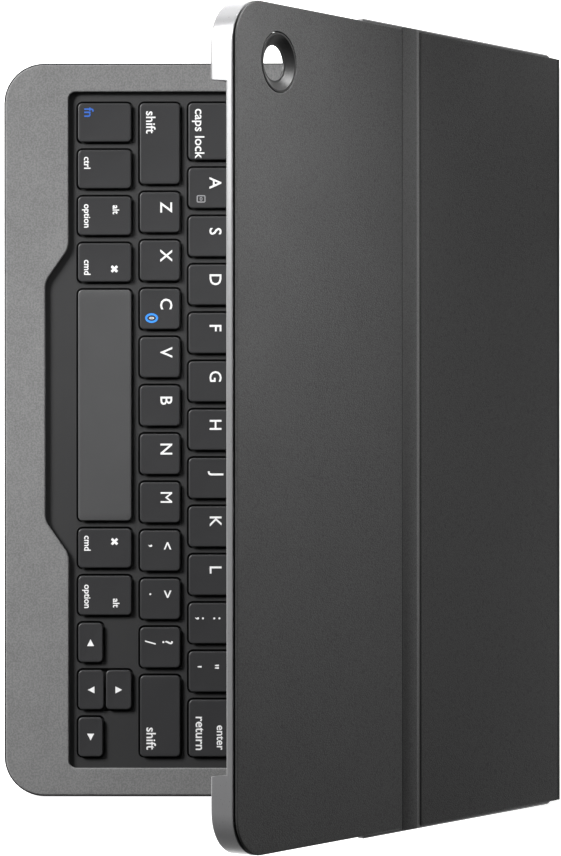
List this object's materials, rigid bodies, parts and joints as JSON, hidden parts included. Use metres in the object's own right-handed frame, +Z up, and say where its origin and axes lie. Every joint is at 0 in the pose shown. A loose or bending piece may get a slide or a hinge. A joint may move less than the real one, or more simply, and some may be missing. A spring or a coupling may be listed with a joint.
{
  "type": "tablet keyboard case",
  "caption": "Folio case with a keyboard in its base and a creased leather-look cover that carries a tablet tray and folds into a typing stand.",
  "frame": {"origin": "centre of the base's underside", "axes": "+X along the keyboard from left to right, +Y from the typist's edge to the spine, +Z up"},
  "size_m": [0.252, 0.189, 0.1718],
  "materials": {
    "leather": "fine matte grain, black",
    "suede": "brushed microfibre, mid grey",
    "lining": "thin felt, black",
    "shell_plastic": "matte black",
    "black_plastic": "satin black",
    "bezel_plastic": "fine spark texture, dark grey",
    "key_plastic": "soft-touch dark grey with white printed marks",
    "steel": "brushed",
    "silicone": "smooth grey",
    "battery_foil": "laminated foil",
    "circuit_laminate": "green solder mask",
    "stiffener": "plain dark sheet",
    "tray_plastic": "glossy silver-grey moulding"
  },
  "bodies": {
    "base": {"base_skin": "leather", "base_shell": "shell_plastic", "deck_frame": "shell_plastic", "deck_lining": "suede", "key_bezel": "bezel_plastic", "support_plate": "steel", "dome_sheet": "silicone", "dock_magnet_bar": "steel", "battery": "battery_foil", "circuit_board": "circuit_laminate", "charge_port": "steel"},
    "spine": {"spine_skin": "leather", "spine_board": "stiffener"},
    "lower_panel": {"lower_cover_skin": "leather", "lower_cover_board": "stiffener"},
    "fold_strip": {"fold_strip_skin": "leather"},
    "tray_panel": {"upper_cover_skin": "leather", "tray_shell": "tray_plastic", "camera_ring": "black_plastic", "tray_lining": "lining"},
    "switch": {"power_switch": "black_plastic"},
    "key_fn_body": {"key_fn": "key_plastic"},
    "key_ctrl_body": {"key_ctrl": "key_plastic"},
    "key_alt_left_body": {"key_alt_left": "key_plastic"},
    "key_cmd_left_body": {"key_cmd_left": "key_plastic"},
    "key_space_body": {"key_space": "key_plastic"},
    "key_cmd_right_body": {"key_cmd_right": "key_plastic"},
    "key_alt_right_body": {"key_alt_right": "key_plastic"},
    "key_arrow_left_body": {"key_arrow_left": "key_plastic"},
    "key_arrow_down_body": {"key_arrow_down": "key_plastic"},
    "key_arrow_up_body": {"key_arrow_up": "key_plastic"},
    "key_arrow_right_body": {"key_arrow_right": "key_plastic"},
    "key_shift_left_body": {"key_shift_left": "key_plastic"},
    "key_z_body": {"key_z": "key_plastic"},
    "key_x_body": {"key_x": "key_plastic"},
    "key_c_body": {"key_c": "key_plastic"},
    "key_v_body": {"key_v": "key_plastic"},
    "key_b_body": {"key_b": "key_plastic"},
    "key_n_body": {"key_n": "key_plastic"},
    "key_m_body": {"key_m": "key_plastic"},
    "key_comma_body": {"key_comma": "key_plastic"},
    "key_period_body": {"key_period": "key_plastic"},
    "key_slash_body": {"key_slash": "key_plastic"},
    "key_shift_right_body": {"key_shift_right": "key_plastic"},
    "key_caps_lock_body": {"key_caps_lock": "key_plastic"},
    "key_a_body": {"key_a": "key_plastic"},
    "key_s_body": {"key_s": "key_plastic"},
    "key_d_body": {"key_d": "key_plastic"},
    "key_f_body": {"key_f": "key_plastic"},
    "key_g_body": {"key_g": "key_plastic"},
    "key_h_body": {"key_h": "key_plastic"},
    "key_j_body": {"key_j": "key_plastic"},
    "key_k_body": {"key_k": "key_plastic"},
    "key_l_body": {"key_l": "key_plastic"},
    "key_semicolon_body": {"key_semicolon": "key_plastic"},
    "key_quote_body": {"key_quote": "key_plastic"},
    "key_return_body": {"key_return": "key_plastic"},
    "key_row_upper_letters_body": {"key_row_upper_letters": "key_plastic"},
    "key_row_digits_body": {"key_row_digits": "key_plastic"},
    "key_row_functions_body": {"key_row_functions": "key_plastic"}
  },
  "joints": [
    {"name": "spine_hinge", "type": "hinge", "parent": "base", "child": "spine", "pos_m": [0, 0.09465, 0.0007], "axis": [-1, 0, 0], "range_deg": [0, 64]},
    {"name": "cover_hinge", "type": "hinge", "parent": "spine", "child": "lower_panel", "pos_m": [0, 0.09415, 0.016], "axis": [-1, 0, 0], "range_deg": [-55.83, 38]},
    {"name": "fold_lower_crease", "type": "hinge", "parent": "lower_panel", "child": "fold_strip", "pos_m": [0, 0.04482, 0.08875], "axis": [-1, 0, 0], "range_deg": [0, 23]},
    {"name": "fold_upper_crease", "type": "hinge", "parent": "fold_strip", "child": "tray_panel", "pos_m": [0, 0.03899, 0.09761], "axis": [-1, 0, 0], "range_deg": [0, 23]},
    {"name": "power_switch_slide", "type": "slide", "parent": "base", "child": "switch", "axis": [0, 1, 0], "range_m": [0, 0.003]},
    {"name": "press_fn", "type": "slide", "parent": "base", "child": "key_fn_body", "axis": [0, 0, -1], "range_m": [0, 0.0012], "stiffness_N_per_m": 300, "springref_m": -0.0003},
    {"name": "press_ctrl", "type": "slide", "parent": "base", "child": "key_ctrl_body", "axis": [0, 0, -1], "range_m": [0, 0.0012], "stiffness_N_per_m": 300, "springref_m": -0.0003},
    {"name": "press_alt_left", "type": "slide", "parent": "base", "child": "key_alt_left_body", "axis": [0, 0, -1], "range_m": [0, 0.0012], "stiffness_N_per_m": 300, "springref_m": -0.0003},
    {"name": "press_cmd_left", "type": "slide", "parent": "base", "child": "key_cmd_left_body", "axis": [0, 0, -1], "range_m": [0, 0.0012], "stiffness_N_per_m": 300, "springref_m": -0.0003},
    {"name": "press_space", "type": "slide", "parent": "base", "child": "key_space_body", "axis": [0, 0, -1], "range_m": [0, 0.0012], "stiffness_N_per_m": 300, "springref_m": -0.0003},
    {"name": "press_cmd_right", "type": "slide", "parent": "base", "child": "key_cmd_right_body", "axis": [0, 0, -1], "range_m": [0, 0.0012], "stiffness_N_per_m": 300, "springref_m": -0.0003},
    {"name": "press_alt_right", "type": "slide", "parent": "base", "child": "key_alt_right_body", "axis": [0, 0, -1], "range_m": [0, 0.0012], "stiffness_N_per_m": 300, "springref_m": -0.0003},
    {"name": "press_arrow_left", "type": "slide", "parent": "base", "child": "key_arrow_left_body", "axis": [0, 0, -1], "range_m": [0, 0.0012], "stiffness_N_per_m": 300, "springref_m": -0.0003},
    {"name": "press_arrow_down", "type": "slide", "parent": "base", "child": "key_arrow_down_body", "axis": [0, 0, -1], "range_m": [0, 0.0012], "stiffness_N_per_m": 300, "springref_m": -0.0003},
    {"name": "press_arrow_up", "type": "slide", "parent": "base", "child": "key_arrow_up_body", "axis": [0, 0, -1], "range_m": [0, 0.0012], "stiffness_N_per_m": 300, "springref_m": -0.0003},
    {"name": "press_arrow_right", "type": "slide", "parent": "base", "child": "key_arrow_right_body", "axis": [0, 0, -1], "range_m": [0, 0.0012], "stiffness_N_per_m": 300, "springref_m": -0.0003},
    {"name": "press_shift_left", "type": "slide", "parent": "base", "child": "key_shift_left_body", "axis": [0, 0, -1], "range_m": [0, 0.0012], "stiffness_N_per_m": 300, "springref_m": -0.0003},
    {"name": "press_z", "type": "slide", "parent": "base", "child": "key_z_body", "axis": [0, 0, -1], "range_m": [0, 0.0012], "stiffness_N_per_m": 300, "springref_m": -0.0003},
    {"name": "press_x", "type": "slide", "parent": "base", "child": "key_x_body", "axis": [0, 0, -1], "range_m": [0, 0.0012], "stiffness_N_per_m": 300, "springref_m": -0.0003},
    {"name": "press_c", "type": "slide", "parent": "base", "child": "key_c_body", "axis": [0, 0, -1], "range_m": [0, 0.0012], "stiffness_N_per_m": 300, "springref_m": -0.0003},
    {"name": "press_v", "type": "slide", "parent": "base", "child": "key_v_body", "axis": [0, 0, -1], "range_m": [0, 0.0012], "stiffness_N_per_m": 300, "springref_m": -0.0003},
    {"name": "press_b", "type": "slide", "parent": "base", "child": "key_b_body", "axis": [0, 0, -1], "range_m": [0, 0.0012], "stiffness_N_per_m": 300, "springref_m": -0.0003},
    {"name": "press_n", "type": "slide", "parent": "base", "child": "key_n_body", "axis": [0, 0, -1], "range_m": [0, 0.0012], "stiffness_N_per_m": 300, "springref_m": -0.0003},
    {"name": "press_m", "type": "slide", "parent": "base", "child": "key_m_body", "axis": [0, 0, -1], "range_m": [0, 0.0012], "stiffness_N_per_m": 300, "springref_m": -0.0003},
    {"name": "press_comma", "type": "slide", "parent": "base", "child": "key_comma_body", "axis": [0, 0, -1], "range_m": [0, 0.0012], "stiffness_N_per_m": 300, "springref_m": -0.0003},
    {"name": "press_period", "type": "slide", "parent": "base", "child": "key_period_body", "axis": [0, 0, -1], "range_m": [0, 0.0012], "stiffness_N_per_m": 300, "springref_m": -0.0003},
    {"name": "press_slash", "type": "slide", "parent": "base", "child": "key_slash_body", "axis": [0, 0, -1], "range_m": [0, 0.0012], "stiffness_N_per_m": 300, "springref_m": -0.0003},
    {"name": "press_shift_right", "type": "slide", "parent": "base", "child": "key_shift_right_body", "axis": [0, 0, -1], "range_m": [0, 0.0012], "stiffness_N_per_m": 300, "springref_m": -0.0003},
    {"name": "press_caps_lock", "type": "slide", "parent": "base", "child": "key_caps_lock_body", "axis": [0, 0, -1], "range_m": [0, 0.0012], "stiffness_N_per_m": 300, "springref_m": -0.0003},
    {"name": "press_a", "type": "slide", "parent": "base", "child": "key_a_body", "axis": [0, 0, -1], "range_m": [0, 0.0012], "stiffness_N_per_m": 300, "springref_m": -0.0003},
    {"name": "press_s", "type": "slide", "parent": "base", "child": "key_s_body", "axis": [0, 0, -1], "range_m": [0, 0.0012], "stiffness_N_per_m": 300, "springref_m": -0.0003},
    {"name": "press_d", "type": "slide", "parent": "base", "child": "key_d_body", "axis": [0, 0, -1], "range_m": [0, 0.0012], "stiffness_N_per_m": 300, "springref_m": -0.0003},
    {"name": "press_f", "type": "slide", "parent": "base", "child": "key_f_body", "axis": [0, 0, -1], "range_m": [0, 0.0012], "stiffness_N_per_m": 300, "springref_m": -0.0003},
    {"name": "press_g", "type": "slide", "parent": "base", "child": "key_g_body", "axis": [0, 0, -1], "range_m": [0, 0.0012], "stiffness_N_per_m": 300, "springref_m": -0.0003},
    {"name": "press_h", "type": "slide", "parent": "base", "child": "key_h_body", "axis": [0, 0, -1], "range_m": [0, 0.0012], "stiffness_N_per_m": 300, "springref_m": -0.0003},
    {"name": "press_j", "type": "slide", "parent": "base", "child": "key_j_body", "axis": [0, 0, -1], "range_m": [0, 0.0012], "stiffness_N_per_m": 300, "springref_m": -0.0003},
    {"name": "press_k", "type": "slide", "parent": "base", "child": "key_k_body", "axis": [0, 0, -1], "range_m": [0, 0.0012], "stiffness_N_per_m": 300, "springref_m": -0.0003},
    {"name": "press_l", "type": "slide", "parent": "base", "child": "key_l_body", "axis": [0, 0, -1], "range_m": [0, 0.0012], "stiffness_N_per_m": 300, "springref_m": -0.0003},
    {"name": "press_semicolon", "type": "slide", "parent": "base", "child": "key_semicolon_body", "axis": [0, 0, -1], "range_m": [0, 0.0012], "stiffness_N_per_m": 300, "springref_m": -0.0003},
    {"name": "press_quote", "type": "slide", "parent": "base", "child": "key_quote_body", "axis": [0, 0, -1], "range_m": [0, 0.0012], "stiffness_N_per_m": 300, "springref_m": -0.0003},
    {"name": "press_return", "type": "slide", "parent": "base", "child": "key_return_body", "axis": [0, 0, -1], "range_m": [0, 0.0012], "stiffness_N_per_m": 300, "springref_m": -0.0003},
    {"name": "press_row_upper_letters", "type": "slide", "parent": "base", "child": "key_row_upper_letters_body", "axis": [0, 0, -1], "range_m": [0, 0.0012], "stiffness_N_per_m": 900, "springref_m": -0.0003},
    {"name": "press_row_digits", "type": "slide", "parent": "base", "child": "key_row_digits_body", "axis": [0, 0, -1], "range_m": [0, 0.0012], "stiffness_N_per_m": 900, "springref_m": -0.0003},
    {"name": "press_row_functions", "type": "slide", "parent": "base", "child": "key_row_functions_body", "axis": [0, 0, -1], "range_m": [0, 0.0012], "stiffness_N_per_m": 900, "springref_m": -0.0003}
  ],
  "couplings": [
    {"joint": "fold_lower_crease", "follows": "spine_hinge", "ratio": 0.345},
    {"joint": "fold_upper_crease", "follows": "spine_hinge", "ratio": 0.345}
  ]
}
